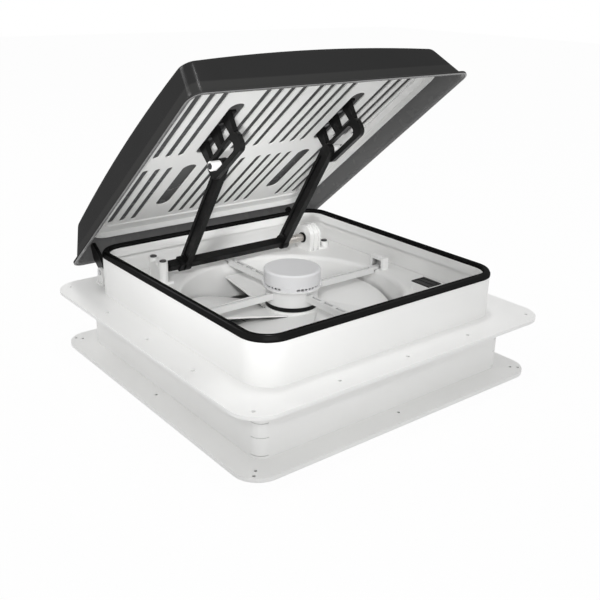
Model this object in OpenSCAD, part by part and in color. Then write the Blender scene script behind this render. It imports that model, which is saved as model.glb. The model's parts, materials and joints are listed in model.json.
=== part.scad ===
// Caravan roof vent with a motor-lifted smoked lid, a fan and a ceiling trim.
// X runs along the lid hinge, +Y points to the hinge side, +Z is up.
// The origin is the centre of the roof opening on the underside of the roof flange.

/* [Roof opening] */
// Side of the square hole cut in the roof
cutout = 400; // [380:1:430]
// Gap between the cut-out and the trim collar, each side
cut_gap = 2; // [1:0.5:4]
// Depth of roof between the two flanges
roof_depth = 73; // [50:1:90]

/* [Roof frame] */
// Overlap of the roof flange past the cut-out
flange_overlap = 37.5; // [32:0.5:48]
// Thickness of the roof flange
flange_t = 4; // [3:0.5:6]
// Corner radius of the roof flange
flange_r = 36; // [25:1:45]
// Wall of the collar
collar_wall = 4; // [3:0.5:5]
// Outer corner radius of the collar
collar_r = 35; // [28:1:45]
// Top of the collar above the underside of the flange
collar_h = 58.3; // [56:0.1:70]
// Reach of the collar below the flange
spigot_h = 40; // [30:1:48]
// Width of the thickened rim that carries the seal
rim_w = 9; // [8:0.5:11]
// Height of the thickened rim
rim_h = 12; // [9:0.5:14]
// Width of the shelf under the duct deck
shelf_w = 12; // [10:0.5:14]
// Radius of the roof screw holes
roof_hole_r = 2.25; // [1.5:0.25:3]
// Distance of the roof screw holes from the flange edge
roof_hole_edge = 19; // [14:0.5:22]
// Spacing of the middle roof screw holes
roof_hole_step = 104; // [80:1:110]

/* [Seal] */
// Height of the rubber seal above the rim
seal_h = 5.6; // [4:0.2:8]
// Overhang of the seal past the outside of the collar
seal_lip = 0.6; // [0.3:0.1:1]
// Depth of the lower lip of the seal down the outside of the collar
seal_skirt = 2.2; // [1:0.1:4]

/* [Ceiling trim] */
// Overlap of the trim flange past the trim collar
trim_overlap = 32; // [28:0.5:40]
// Thickness of the trim flange
trim_t = 5; // [3:0.5:7]
// Corner radius of the trim flange
trim_flange_r = 32; // [25:1:40]
// Wall of the trim collar
trim_wall = 3; // [2.5:0.25:4]
// Corner radius of the trim collar
trim_r = 14; // [12:1:20]
// Sliding gap between the trim collar and the frame collar
slide_gap = 3; // [2:0.5:4]
// Inward ledge that carries the insect screen
ledge_w = 13; // [10:1:18]
// Thickness of the ledge
ledge_t = 3; // [2:0.5:4]
// Radius of the trim screw holes
trim_hole_r = 2; // [1.5:0.25:2.5]
// Distance of the outer trim holes from the flange edge
trim_hole_edge = 13; // [12:0.5:15]
// Distance of the inner trim holes from the flange edge
trim_hole_inset = 20; // [19:0.5:22]

/* [Insect screen] */
// Width of the screen frame bars
screen_bar = 10.5; // [8:0.5:14]
// Height of the screen frame
screen_h = 5; // [4:0.5:7]
// Gap between the screen frame and the trim collar
screen_gap = 0.5; // [0.3:0.1:1]
// Gaps of the net along each side
mesh_cells = 17; // [8:1:17]
// Width of the net wires
mesh_wire = 1.2; // [0.8:0.1:2]
// Thickness of the net
mesh_t = 0.8; // [0.6:0.1:1.5]

/* [Fan duct] */
// Space between the duct and the collar wall on the middle lines
duct_margin = 40; // [37:0.5:46]
// Wall of the duct
duct_wall = 3; // [2:0.5:4]
// Radius of the rounded mouth of the duct
mouth_r = 6; // [4.5:0.5:7]
// Thickness of the deck plate
deck_t = 3; // [2.5:0.5:4]
// Height of the deck top above the underside of the flange
deck_z = 19; // [17:0.5:21]
// Reach of the duct below the flange
duct_drop = 38; // [34:1:44]
// Gap between the deck edge and the collar
deck_gap = 0.5; // [0.3:0.1:1]

/* [Fan] */
// Number of fan blades
blade_n = 5; // [4:1:6]
// Gap between the blade tips and the duct
tip_gap = 5; // [3:0.5:10]
// Thickness of a blade
blade_t = 2.2; // [1.6:0.2:3]
// Radius of the camber of a blade
camber_r = 400; // [350:10:500]
// Mean pitch angle of a blade
blade_pitch = 10; // [8:0.5:11]
// Share of the circle that the blades cover at their tips
blade_cover = 0.94; // [0.8:0.01:0.96]
// Turn of the first blade
blade_turn = 61; // [0:1:71]
// Outer radius of the fan hub
hub_r = 36; // [30:1:42]
// Depth of the fan hub
hub_h = 34; // [28:1:36]
// Radius of the fan shaft
fan_shaft_r = 3; // [2.5:0.25:4]

/* [Motor carrier] */
// Width of a spoke
spoke_w = 9; // [7:0.5:12]
// Height of a spoke
spoke_h = 8.5; // [7.5:0.5:10]
// Depth of the underside of the spokes below the deck top
spoke_drop = 5; // [4:0.5:6]
// Depth of the carrier cup below the deck top
cup_sink = 13; // [11:0.5:14]
// Outer radius of the carrier cup
cup_r = 35; // [33:0.5:38]
// Wall of the carrier cup
cup_wall = 4; // [3:0.5:5]
// Height of the carrier cup
cup_h = 22.8; // [20:0.2:28]
// Gap between the carrier cup and the fan hub
cup_gap = 6; // [4:0.5:7]
// Outer radius of the motor cover
cover_r = 38; // [36.5:0.5:42]
// Height of the motor cover
cover_h = 22.7; // [20:0.1:26]
// Wall of the motor cover
cover_wall = 2; // [1.5:0.25:3]
// Half width of a spoke socket
socket_half = 13; // [11:0.5:16]
// Height of a spoke socket above the deck
socket_h = 17; // [14:0.5:20]
// Thickness of a spoke socket
socket_t = 4; // [3:0.5:5]

/* [Lid] */
// Angle of the open lid
lid_open = 39.5; // [20:0.5:45]
// Reach of the lid past the collar at the sides
lid_side = 16.5; // [15:0.5:22]
// Reach of the lid past the collar at the front
lid_front = 16; // [15:0.5:22]
// Reach of the lid past the collar at the hinge
lid_rear = 33; // [31:0.5:38]
// Corner radius of the lid rim
lid_r = 14; // [10:1:24]
// Wall of the lid
lid_wall = 2.5; // [2:0.25:3.5]
// Inward slope of the skirt per unit of height
skirt_slope = 0.3; // [0.25:0.01:0.4]
// Height of the top of the dome above the rim
dome_h = 68; // [64:1:76]
// Radius of the dome
dome_r = 1950; // [1400:50:2800]
// Width of the bead round the rim
bead_w = 4; // [2:0.25:5]
// Height of the bead
bead_h = 3; // [2:0.5:4]

/* [Lid liner] */
// Depth of the seal lip inside the lid rim
lip_depth = 20.2; // [18:0.1:24]
// Depth of the slotted panel inside the lid rim
panel_depth = 30.5; // [28:0.5:34]
// Thickness of the liner
liner_t = 1.5; // [1.25:0.25:3]
// Inset of the lip from the outside of the collar
lip_inset = 4; // [3.5:0.25:5]
// Width of the raised border of the panel
border_w = 18; // [12:1:20]
// Drop of the border below the panel
border_drop = 2.5; // [1.5:0.5:3]
// Width of a narrow slot
slot_w = 8.5; // [6:0.5:9]
// Place of the first slot beside the middle
slot_first = 13; // [9:0.5:14]
// Distance from a window edge to the last slot of the middle group
slot_margin = 17.9; // [14:0.1:19]
// Distance from a window edge to the first slot of the side group
side_margin = 20.5; // [17:0.5:22]
// Width of a wide window
window_w = 21; // [18:0.5:22]
// Distance of the outermost slot from the panel edge
outer_edge = 10.1; // [8:0.1:12]
// Half width of the plain band across the middle
band_half = 14.5; // [10:0.5:18]
// Distance of the slot ends from the panel edge
slot_end = 7.5; // [6:0.5:12]
// Length of a wide window
window_len = 113; // [112:1:130]

/* [Hinge] */
// Distance of the hinge pins behind the collar
hinge_back = 12; // [11:0.5:13]
// Height of the hinge pins above the underside of the flange
hinge_z = 21.2; // [19:0.1:24]
// Distance of each hinge from the middle
hinge_x = 173; // [150:1:175]
// Radius of a hinge pin
hinge_pin_r = 2.5; // [2:0.25:3]
// Radius of the hinge eyes
hinge_eye_r = 7; // [6:0.25:7.5]
// Thickness of a lid hinge arm
hinge_arm_t = 5; // [4:0.5:6]
// Thickness of a bracket lug
lug_t = 4; // [3:0.5:6]
// Side gap between a lug and the hinge arm
lug_gap = 0.5; // [0.3:0.1:1]

/* [Lift] */
// Distance of the lift shaft in front of the collar wall
shaft_in = 55.4; // [52:0.1:60]
// Height of the lift shaft above the deck
shaft_up = 18.3; // [17:0.1:20]
// Side of the square lift shaft
shaft_w = 11.6; // [10:0.2:13]
// Place of the rollers in front of the middle when the lid is shut
roller_back = 50.7; // [48:0.1:54]
// Distance of each arm from the collar wall
arm_in = 103; // [100:0.5:106]
// Thickness of an arm
arm_t = 9; // [7:0.5:9]
// Width of an arm
arm_w = 16.8; // [14:0.2:18]
// Radius of an arm hub
arm_hub_r = 10.5; // [9:0.5:12]
// Radius of a roller
roller_r = 6.25; // [5:0.25:6.5]
// Length of a roller
roller_len = 13; // [10:0.5:14]
// Radius of a roller pin
roller_pin_r = 2.5; // [2:0.25:3]
// Clearance of a roller in its track
track_play = 0.95; // [0.8:0.05:1.3]
// Height of the track line inside the lid rim
track_line = 1.1; // [0:0.1:3]
// Thickness of a track
track_t = 7; // [5:0.5:7]
// Spare length of a track slot in front of the roller
track_spare = 31; // [20:1:34]
// Height of the rail below a track slot
rail_low = 6.8; // [5:0.2:8]
// Height of the rail above a track slot
rail_high = 4.2; // [3:0.2:6]
// Solid length of a track in front of its slot
rail_front = 13.8; // [10:0.2:16]
// Solid length of a track behind its slot
rail_rear = 8.2; // [6:0.2:10]
// Running clearance on every shaft and pin
run_gap = 0.05; // [0.03:0.01:0.08]

/* [Lift motor] */
// Radius of the steel output sleeve
sleeve_r = 6; // [5:0.25:7]
// Radius of the gear motor
motor_r = 12; // [10:0.5:13]
// Radius of the output shaft
output_r = 3; // [2.5:0.25:3.5]
// Distance of the motor housing from the collar wall
housing_in = 64; // [60:0.5:66]
// Length of the white motor housing
housing_len = 20; // [19:0.5:26]
// Half width of the motor housing
housing_half = 18; // [16.5:0.5:20]
// Height of the motor housing above the shaft
housing_over = 20; // [17:0.5:20]
// Distance of the screw ear behind the housing
ear_out = 13; // [11:0.5:16]
// Height of the screw ear above the deck
ear_h = 10; // [8:0.5:13]
// Distance of the bearing block from the collar wall
bearing_in = 61; // [58:0.5:63]
// Half spacing of the screw towers of the bearing block
tower_half = 13; // [12:0.5:15]
// Height of the screw towers above the deck
tower_h = 31.5; // [30:0.5:34]

/* [Rain sensor] */
// Length of the sensor box
sensor_l = 31.5; // [26:0.5:34]
// Width of the sensor box
sensor_w = 24; // [20:0.5:26]
// Height of the sensor box above the deck
sensor_h = 12; // [9:0.5:15]
// Distance of the sensor box in front of the middle
sensor_y = 90; // [86:1:94]
// Distance of the sensor box from the collar wall
sensor_in = 29.5; // [26:0.5:31]
// Thickness of the sensor window
window_t = 1.6; // [1:0.1:3]

/* [Hidden] */
$fn = 96;

// Cutting tools reach this far past the face that they cut
eps = 1;
// Smallest inner corner radius
corner_min = 0.5;
white = [0.92, 0.92, 0.91];
black = [0.10, 0.10, 0.10];
steel = [0.72, 0.72, 0.74];

// Half widths of the nested square pieces, from the cut-out inwards
trim_half = cutout / 2 - cut_gap;
trim_in = trim_half - trim_wall;
collar_half = trim_in - slide_gap;
collar_in = collar_half - collar_wall;
collar_in_r = collar_r - collar_wall;
rim_in = collar_half - rim_w;
rim_in_r = collar_r - rim_w;
flange_half = cutout / 2 + flange_overlap;
trim_flange_half = trim_half + trim_overlap;
trim_bottom = -roof_depth - trim_t;
seal_top = collar_h + seal_h;

// Screen
screen_half = trim_in - screen_gap;
screen_in = screen_half - screen_bar;
screen_r = trim_r - trim_wall - screen_gap;
screen_bottom = trim_bottom + ledge_t;
screen_mid = screen_bottom + screen_h / 2;

// Deck and duct
duct_r = collar_in - duct_margin;
deck_half = collar_in - deck_gap;
deck_bottom = deck_z - deck_t;
shelf_t = 3;
shelf_in = collar_in - shelf_w;
deck_screw_at = collar_in - shelf_w / 2;
deck_screw_bite = deck_t - 1;
screw_head_r = 3.2;
large_head_r = 4.6;
screw_head_h = 1.6;
screw_r = 1.8;

// Fan and its motor
fan_r = duct_r - tip_gap;
spoke_z = deck_z - spoke_drop;
cup_bottom = deck_z - cup_sink;
cup_top = cup_bottom + cup_h;
cup_floor = 2;
cup_in = cup_r - cup_wall;
hub_top = cup_bottom - cup_gap;
hub_bottom = hub_top - hub_h;
hub_wall = 2.5;
blade_under = 1.5;
blade_root = 14;
boss_r = 9;
boss_len = 20;
nut_h = 4;
ring_gap = 0.6;
nut_r = 6.5;
fan_shaft_top = cup_top + 8;
fan_shaft_bottom = hub_top - boss_len - nut_h - 1;
fan_motor_top = cup_top + cover_h - cover_wall - 4;
cover_flange_r = cover_r + 1;
cover_flange_t = 2;
socket_x = duct_r + mouth_r + 0.5;
socket_len = 11;
socket_back = 2;
spoke_end = socket_x + socket_len - socket_back - 0.5;
spoke_step = duct_r - 2;

// Lid in its closed place
lid_rim = seal_top + 0.3 - lip_depth;
lid_half = collar_half + lid_side;
lid_front_y = -(collar_half + lid_front);
lid_rear_y = collar_half + lid_rear;
lid_mid_y = (lid_front_y + lid_rear_y) / 2;
panel_z = lid_rim + panel_depth;
border_z = panel_z - border_drop;
lip_z = lid_rim + lip_depth;
lip_half = collar_half - lip_inset;
lip_r = collar_r - lip_inset;
liner_top = panel_z + liner_t;
panel_half = lip_half - border_w;
slot_len = panel_half - band_half - slot_end;
arm_x = collar_in - arm_in;
track_x = arm_x + arm_t / 2 + 1;
window_x = track_x + track_t / 2;
slot_step = (window_x - window_w / 2 - slot_margin - slot_first) / 3;
outer_first = window_x + window_w / 2 + side_margin;
outer_step = (panel_half - outer_edge - outer_first) / 2;
liner_boss_x = (window_x + window_w / 2 + outer_first - slot_w / 2) / 2;
liner_boss_y = band_half + slot_len - 18;

// Hinge and lift places in the Y-Z plane
hinge_y = collar_half + hinge_back;
shaft_y = collar_in - shaft_in;
shaft_z = deck_z + shaft_up;
track_z = lid_rim + track_line;
arm_len = sqrt(pow(shaft_y + roller_back, 2) + pow(track_z - shaft_z, 2));

// Angle of the arms above level when the lid is open by t degrees
function arm_angle(t) = t + asin((track_z - hinge_z - (shaft_z - hinge_z) * cos(t)
    + (hinge_y - shaft_y) * sin(t)) / arm_len);

// Place of the roller along the closed lid when the lid is open by t degrees
function roller_y(t) = hinge_y
    + (shaft_y - hinge_y - arm_len * cos(arm_angle(t))) * cos(t)
    - (shaft_z - hinge_z + arm_len * sin(arm_angle(t))) * sin(t);

arm_open = arm_angle(lid_open);
track_slot_r = roller_r + track_play;
track_slot_rear = roller_y(lid_open) + track_play;
track_slot_front = roller_y(0) - track_spare;
track_bottom = track_z - track_slot_r - rail_low;
track_top = track_z + track_slot_r + rail_high;
track_rear = track_slot_rear + track_slot_r + rail_rear;
track_front = track_slot_front - track_slot_r - rail_front;
track_corner = 9;
foot_z = liner_top + 3;
foot_t = 3;
finger_n = 3;
finger_top_w = 16;
finger_low_w = 9;
finger_step = (track_rear - track_front - finger_top_w) / (finger_n - 1);
shaft_right = arm_x + arm_t / 2 + 2;
journal_r = 4;
pin_cover = 2.5;
bush_r = 6.5;
bearing_len = 24;
bearing_x = collar_in - bearing_in;
bearing_floor = 8;
shaft_left = bearing_x - bearing_len / 2 - 3;
ring_t = 2.2;
housing_x = collar_in - housing_in;
housing_front = 5;
neck_r = 4;
motor_x = housing_x + housing_front;
motor_len = housing_len - housing_front - 2;
ear_x = housing_x + housing_len + ear_out;
ear_y = shaft_y - 11.6;
ear_r = 6.5;

// Square with round corners, as an exact outline
module rounded_square(half_x, half_y, r) {
    square([2 * half_x - 2 * r, 2 * half_y], center = true);
    square([2 * half_x, 2 * half_y - 2 * r], center = true);
    for (sx = [-1, 1])
        for (sy = [-1, 1])
            translate([sx * (half_x - r), sy * (half_y - r)])
                circle(r);
}

// Square tube with round corners
module square_tube(half, r, wall, z0, z1) {
    translate([0, 0, z0])
        linear_extrude(z1 - z0)
            difference() {
                rounded_square(half, half, r);
                rounded_square(half - wall, half - wall, max(r - wall, corner_min));
            }
}

// Cylinder along X between two places
module rod_x(r, x0, x1, y, z) {
    translate([x0, y, z])
        rotate([0, 90, 0])
            cylinder(r = r, h = x1 - x0);
}

// Outline in the Y-Z plane pushed along X
module plate_x(x0, x1) {
    translate([x0, 0, 0])
        rotate([90, 0, 90])
            linear_extrude(x1 - x0)
                children();
}

// Row of points along a line
function spread(n, step) = [for (i = [0 : n - 1]) (i - (n - 1) / 2) * step];

// Moves pieces of the closed lid to the open lid
module on_lid() {
    translate([0, hinge_y, hinge_z])
        rotate([-lid_open, 0, 0])
            translate([0, -hinge_y, -hinge_z])
                children();
}

// Moves pieces of the lift, drawn with the arms level, to the open lid
module on_lift() {
    translate([0, shaft_y, shaft_z])
        rotate([-arm_open, 0, 0])
            children();
}

// Block with four sides sloped alike, without its round corners
module sloped_prism(half_x, y0, y1, slope, below, h) {
    out = slope * below;
    inset = slope * h;
    intersection() {
        translate([0, y1 + out, 0])
            rotate([90, 0, 0])
                linear_extrude(y1 - y0 + 2 * out)
                    polygon([[-half_x - out, -below], [half_x + out, -below], [half_x - inset, h],
                        [inset - half_x, h]]);
        plate_x(-half_x - out, half_x + out)
            polygon([[y0 - out, -below], [y1 + out, -below], [y1 - inset, h], [y0 + inset, h]]);
    }
}

// Sloped block with its four corner edges rounded by the radius r
module sloped_block(half_x, y0, y1, r, slope, below, h) {
    face = sqrt(1 + slope * slope);
    touch = r / face;
    centre = r * face;
    reach = (h + below + 2 * r) * face;
    sloped_prism(half_x, y0 + touch, y1 - touch, slope, below, h);
    sloped_prism(half_x - touch, y0, y1, slope, below, h);
    intersection() {
        for (sx = [-1, 1])
            for (sy = [-1, 1])
                translate([sx * (half_x - centre), sy > 0 ? y1 - centre : y0 + centre, 0])
                    rotate([0, 0, atan2(-sy, -sx)])
                        rotate([0, atan(slope * sqrt(2)), 0])
                            translate([0, 0, -below - r])
                                cylinder(r = r, h = reach);
        translate([-half_x - r, y0 - r, -below])
            cube([2 * half_x + 2 * r, y1 - y0 + 2 * r, below + h]);
    }
}

// Sloped block closed by the dome, set in by the given wall and drawn on below the rim
module lid_form(wall, below = 0) {
    intersection() {
        translate([0, 0, lid_rim])
            sloped_block(lid_half - bead_w - wall, lid_front_y + bead_w + wall, lid_rear_y - bead_w - wall,
                lid_r - wall, skirt_slope, below, dome_h + eps);
        translate([0, lid_mid_y, lid_rim + dome_h - dome_r])
            sphere(r = dome_r - wall);
    }
}

// Pan head screw pointing down, with the underside of its head at the origin
module pan_screw(length, head = screw_head_r) {
    cylinder(r = head, h = screw_head_h);
    translate([0, 0, -length])
        cylinder(r = screw_r, h = length + screw_head_h / 2);
}

// Places of the screws that hold the deck
module deck_screw_places() {
    for (s = [-1, 1])
        for (t = [-1, 1]) {
            translate([s * deck_screw_at, t * deck_half / 2])
                children();
            translate([t * deck_half / 2, s * deck_screw_at])
                children();
        }
}

// Places of the roof screw holes, all round the flange
module roof_hole_places() {
    at = flange_half - roof_hole_edge;
    for (s = [-1, 1]) {
        for (t = [-1, 1])
            translate([s * at, t * at])
                children();
        for (u = spread(3, roof_hole_step)) {
            translate([s * at, u])
                children();
            translate([u, s * at])
                children();
        }
    }
}

// Places of the trim screw holes
module trim_hole_places() {
    outer = trim_flange_half - trim_hole_edge;
    inner = trim_flange_half - trim_hole_inset;
    for (s = [-1, 1]) {
        for (t = [-1, 1])
            for (at = [outer, inner])
                translate([s * at, t * at])
                    children();
        translate([s * inner, 0])
            children();
        translate([0, s * inner])
            children();
    }
}

// Roof flange, collar with its seal rim, and the shelf for the deck
module roof_frame() color(white) {
    difference() {
        union() {
            linear_extrude(flange_t)
                rounded_square(flange_half, flange_half, flange_r);
            translate([0, 0, -spigot_h])
                linear_extrude(spigot_h + collar_h)
                    rounded_square(collar_half, collar_half, collar_r);
        }
        translate([0, 0, -spigot_h - eps])
            linear_extrude(spigot_h + deck_bottom - shelf_t + eps)
                rounded_square(collar_in, collar_in, collar_in_r);
        translate([0, 0, -spigot_h])
            linear_extrude(spigot_h + collar_h + eps)
                rounded_square(shelf_in, shelf_in, collar_in_r - shelf_w);
        translate([0, 0, deck_bottom])
            linear_extrude(collar_h - rim_h - deck_bottom)
                rounded_square(collar_in, collar_in, collar_in_r);
        translate([0, 0, collar_h - rim_h - eps])
            linear_extrude(rim_h + 2 * eps)
                rounded_square(rim_in, rim_in, rim_in_r);
        translate([0, 0, -eps])
            linear_extrude(flange_t + 2 * eps)
                roof_hole_places()
                    circle(roof_hole_r);
        translate([0, 0, -spigot_h])
            linear_extrude(spigot_h + deck_z)
                deck_screw_places()
                    circle(screw_r);
    }
}

// Rubber seal on the rim with a lip down the outside
module rim_seal() color([0.06, 0.06, 0.06]) {
    bulb = seal_h / 2;
    square_tube(collar_half + seal_lip, collar_r + seal_lip, rim_w + seal_lip, collar_h, seal_top - bulb);
    square_tube(collar_half + seal_lip - 1, collar_r + seal_lip - 1, rim_w + seal_lip - 2,
        seal_top - bulb, seal_top);
    square_tube(collar_half + seal_lip, collar_r + seal_lip, seal_lip, collar_h - seal_skirt, collar_h);
}

// Ceiling flange with its collar, cut marks at the corners and the screen ledge
module ceiling_trim() color(white) {
    score_w = 0.8;
    score_d = 0.8;
    difference() {
        union() {
            translate([0, 0, trim_bottom])
                linear_extrude(trim_t)
                    rounded_square(trim_flange_half, trim_flange_half, trim_flange_r);
            translate([0, 0, trim_bottom])
                linear_extrude(-trim_bottom)
                    rounded_square(trim_half, trim_half, trim_r);
        }
        translate([0, 0, screen_bottom])
            linear_extrude(eps - screen_bottom)
                rounded_square(trim_in, trim_in, trim_r - trim_wall);
        translate([0, 0, trim_bottom - eps])
            linear_extrude(ledge_t + 2 * eps)
                rounded_square(trim_in - ledge_w, trim_in - ledge_w, trim_r - trim_wall);
        translate([0, 0, trim_bottom - eps])
            linear_extrude(trim_t + 2 * eps)
                trim_hole_places()
                    circle(trim_hole_r);
        for (share = [0.42, 0.66, 0.96])
            for (sx = [-1, 1])
                for (sy = [-1, 1])
                    translate([sx * (trim_half - trim_r), sy * (trim_half - trim_r), -share * roof_depth])
                        difference() {
                            cylinder(r = trim_r + eps, h = score_w);
                            translate([0, 0, -eps])
                                cylinder(r = trim_r - score_d, h = score_w + 2 * eps);
                            translate([-trim_r - sx * trim_r, -2 * trim_r, -eps])
                                cube([2 * trim_r, 4 * trim_r, score_w + 2 * eps]);
                            translate([-2 * trim_r, -trim_r - sy * trim_r, -eps])
                                cube([4 * trim_r, 2 * trim_r, score_w + 2 * eps]);
                        }
    }
}

// Frame of the insect screen on the ledge of the trim
module screen_frame() color(white) {
    square_tube(screen_half, screen_r, screen_bar, screen_bottom, screen_bottom + screen_h);
}

// Net of the insect screen
module insect_screen() color([0.35, 0.35, 0.36]) {
    cell = (2 * screen_in - (mesh_cells + 1) * mesh_wire) / mesh_cells;
    translate([0, 0, screen_mid - mesh_t / 2])
        linear_extrude(mesh_t)
            difference() {
                rounded_square(screen_in, screen_in, max(screen_r - screen_bar, corner_min));
                for (x = spread(mesh_cells, cell + mesh_wire))
                    for (y = spread(mesh_cells, cell + mesh_wire))
                        translate([x, y])
                            square(cell, center = true);
            }
}

// Deck plate inside the collar with the round duct and its rounded mouth
module fan_duct() color(white) {
    outer = duct_r + duct_wall;
    difference() {
        translate([0, 0, deck_bottom])
            linear_extrude(deck_t)
                rounded_square(deck_half, deck_half, collar_in_r - deck_gap);
        translate([0, 0, deck_bottom - eps])
            cylinder(r = duct_r + mouth_r, h = deck_t + 2 * eps);
        translate([0, 0, deck_bottom - eps])
            linear_extrude(deck_screw_bite + eps)
                deck_screw_places()
                    circle(screw_r);
    }
    rotate_extrude()
        difference() {
            union() {
                translate([duct_r, -duct_drop])
                    square([duct_wall, duct_drop + deck_z - mouth_r]);
                translate([duct_r, deck_z - mouth_r])
                    square(mouth_r);
                translate([duct_r + mouth_r, deck_bottom])
                    square([eps, deck_t]);
            }
            translate([duct_r + mouth_r, deck_z - mouth_r])
                mouth_corner();
        }
}

// Material taken off outside and below the rounded mouth
module mouth_corner() {
    difference() {
        translate([-mouth_r - eps, 0])
            square([mouth_r + eps, mouth_r + eps]);
        circle(mouth_r);
    }
    intersection() {
        circle(mouth_r - duct_wall);
        translate([-mouth_r, -eps])
            square([mouth_r + eps, mouth_r]);
    }
}

// Screws that hold the deck to the shelf, put in from below
module duct_screws() color(steel) {
    translate([0, 0, deck_bottom - shelf_t])
        deck_screw_places()
            mirror([0, 0, 1])
                pan_screw(shelf_t + deck_screw_bite);
}

// Carrier cup of the fan motor with four spokes that rest on the deck
module motor_spider() color(white) {
    ridge_w = 2.4;
    groove_d = 3;
    groove_w = spoke_w - 2 * ridge_w;
    tab_w = 6;
    tab_h = 1.4;
    difference() {
        union() {
            translate([0, 0, cup_bottom])
                cylinder(r = cup_r, h = cup_h);
            translate([0, 0, cup_top - cover_flange_t])
                cylinder(r = cover_flange_r, h = cover_flange_t);
            for (a = [0, 90, 180, 270])
                rotate([0, 0, a]) {
                    translate([cup_r - cup_wall, -spoke_w / 2, spoke_z])
                        cube([spoke_step - cup_r + cup_wall, spoke_w, spoke_h]);
                    translate([spoke_step - eps, -spoke_w / 2, deck_z])
                        cube([spoke_end - spoke_step + eps, spoke_w, spoke_h - spoke_drop]);
                }
        }
        translate([0, 0, cup_bottom + cup_floor])
            cylinder(r = cup_in, h = cup_h);
        translate([0, 0, cup_bottom - eps])
            cylinder(r = boss_r, h = cup_floor + 2 * eps);
        for (a = [0, 90, 180, 270])
            rotate([0, 0, a])
                translate([cover_flange_r + 3, -groove_w / 2, spoke_z + spoke_h - groove_d])
                    cube([spoke_step - cover_flange_r - 8, groove_w, groove_d + eps]);
    }
    for (a = [90, 270])
        rotate([0, 0, a])
            for (share = [0.2, 0.42, 0.64, 0.86])
                translate([cover_flange_r + share * (spoke_step - cover_flange_r), -groove_w / 2 - 0.5,
                    spoke_z + spoke_h - tab_h])
                    cube([tab_w, groove_w + 1, tab_h]);
}

// Black ring under the carrier cup, above the fan hub
module motor_base_ring() color(black)
    translate([0, 0, hub_top + ring_gap])
        difference() {
            cylinder(r = cup_r + 0.5, h = cup_gap - ring_gap);
            translate([0, 0, -eps])
                cylinder(r = boss_r + 3, h = cup_gap + 2 * eps);
        }

// Hoops on the deck that hold the spoke ends
module spoke_sockets() color(white) {
    inner = socket_half - socket_t;
    for (a = [0, 180])
        rotate([0, 0, a])
            translate([socket_x, 0, deck_z])
                difference() {
                    translate([0, -socket_half, 0])
                        cube([socket_len, 2 * socket_half, socket_h]);
                    translate([-eps, -inner, -eps])
                        cube([socket_len - socket_back + eps, 2 * inner, socket_h - socket_t + eps]);
                }
}

// Round cap over the fan motor with vent slots and clips round its foot
module motor_cover() color([0.86, 0.86, 0.87]) {
    edge = 3;
    slot_z = 1.2;
    slot_h = 3;
    slot_w_cover = 4.2;
    clip_w = 6;
    translate([0, 0, cup_top]) {
        difference() {
            rotate_extrude() {
                square([cover_r - edge, cover_h]);
                square([cover_r, cover_h - edge]);
                translate([cover_r - edge, cover_h - edge])
                    intersection() {
                        circle(edge);
                        square(edge + eps);
                    }
            }
            translate([0, 0, -eps])
                cylinder(r = cover_r - cover_wall, h = cover_h - cover_wall + eps);
            for (quarter = [0 : 3])
                for (u = spread(7, 8.5))
                    rotate([0, 0, 90 * quarter + u])
                        translate([cover_r - cover_wall - eps, -slot_w_cover / 2, slot_z])
                            cube([cover_wall + 2 * eps, slot_w_cover, slot_h]);
        }
        for (quarter = [0 : 3])
            rotate([0, 0, 45 + 90 * quarter])
                translate([cover_r - eps, -clip_w / 2, 0])
                    cube([eps + 1.6, clip_w, 7]);
    }
}

// Fan motor in its cup
module fan_motor() color(steel) {
    body_r = cup_in;
    neck_r = 12;
    difference() {
        union() {
            translate([0, 0, cup_bottom + cup_floor])
                cylinder(r = body_r, h = fan_motor_top - cup_bottom - cup_floor - 5);
            translate([0, 0, fan_motor_top - 6])
                cylinder(r = neck_r, h = 6);
        }
        translate([0, 0, cup_bottom])
            cylinder(r = fan_shaft_r + run_gap, h = fan_shaft_top - cup_bottom + 1);
    }
}

// Shaft from the motor to the fan
module fan_shaft() color(steel)
    translate([0, 0, fan_shaft_bottom])
        cylinder(r = fan_shaft_r, h = fan_shaft_top - fan_shaft_bottom);

// One broad cambered blade, drawn along +X about the shaft, with its leading edge at +Y
module fan_blade() {
    root = hub_r - hub_wall;
    half = blade_cover * 180 / blade_n;
    lead = fan_r * sin(half);
    tip = fan_r * cos(half);
    crown = camber_r * cos(asin((lead - camber_r * sin(blade_pitch)) / camber_r));
    intersection() {
        translate([0, camber_r * sin(blade_pitch), hub_top - blade_under - crown])
            rotate([0, 90, 0])
                difference() {
                    cylinder(r = camber_r, h = fan_r + eps, $fn = 192);
                    translate([0, 0, -eps])
                        cylinder(r = camber_r - blade_t, h = fan_r + 3 * eps, $fn = 192);
                }
        translate([0, 0, hub_bottom])
            linear_extrude(hub_h)
                difference() {
                    intersection() {
                        circle(fan_r);
                        polygon([[0, -blade_root], [tip, -lead], [fan_r * 1.5, -lead], [fan_r * 1.5, lead],
                            [tip, lead], [0, hub_r + 2]]);
                    }
                    circle(root);
                }
    }
}

// Fan with its hub cup
module fan_impeller() color(white) {
    rotate_extrude()
        difference() {
            translate([fan_shaft_r, hub_bottom])
                square([hub_r - fan_shaft_r, hub_h]);
            translate([boss_r, hub_bottom - eps])
                square([hub_r - hub_wall - boss_r, hub_h - hub_wall + eps]);
            translate([0, hub_bottom - eps])
                square([boss_r + eps, hub_h - boss_len + eps]);
        }
    for (i = [0 : blade_n - 1])
        rotate([0, 0, blade_turn + 360 * i / blade_n])
            fan_blade();
}

// Nut that holds the fan on its shaft
module impeller_nut() color(steel)
    translate([0, 0, hub_top - boss_len - nut_h])
        difference() {
            cylinder(r = nut_r, h = nut_h, $fn = 6);
            translate([0, 0, -eps])
                cylinder(r = fan_shaft_r, h = nut_h + 2 * eps);
        }

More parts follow.
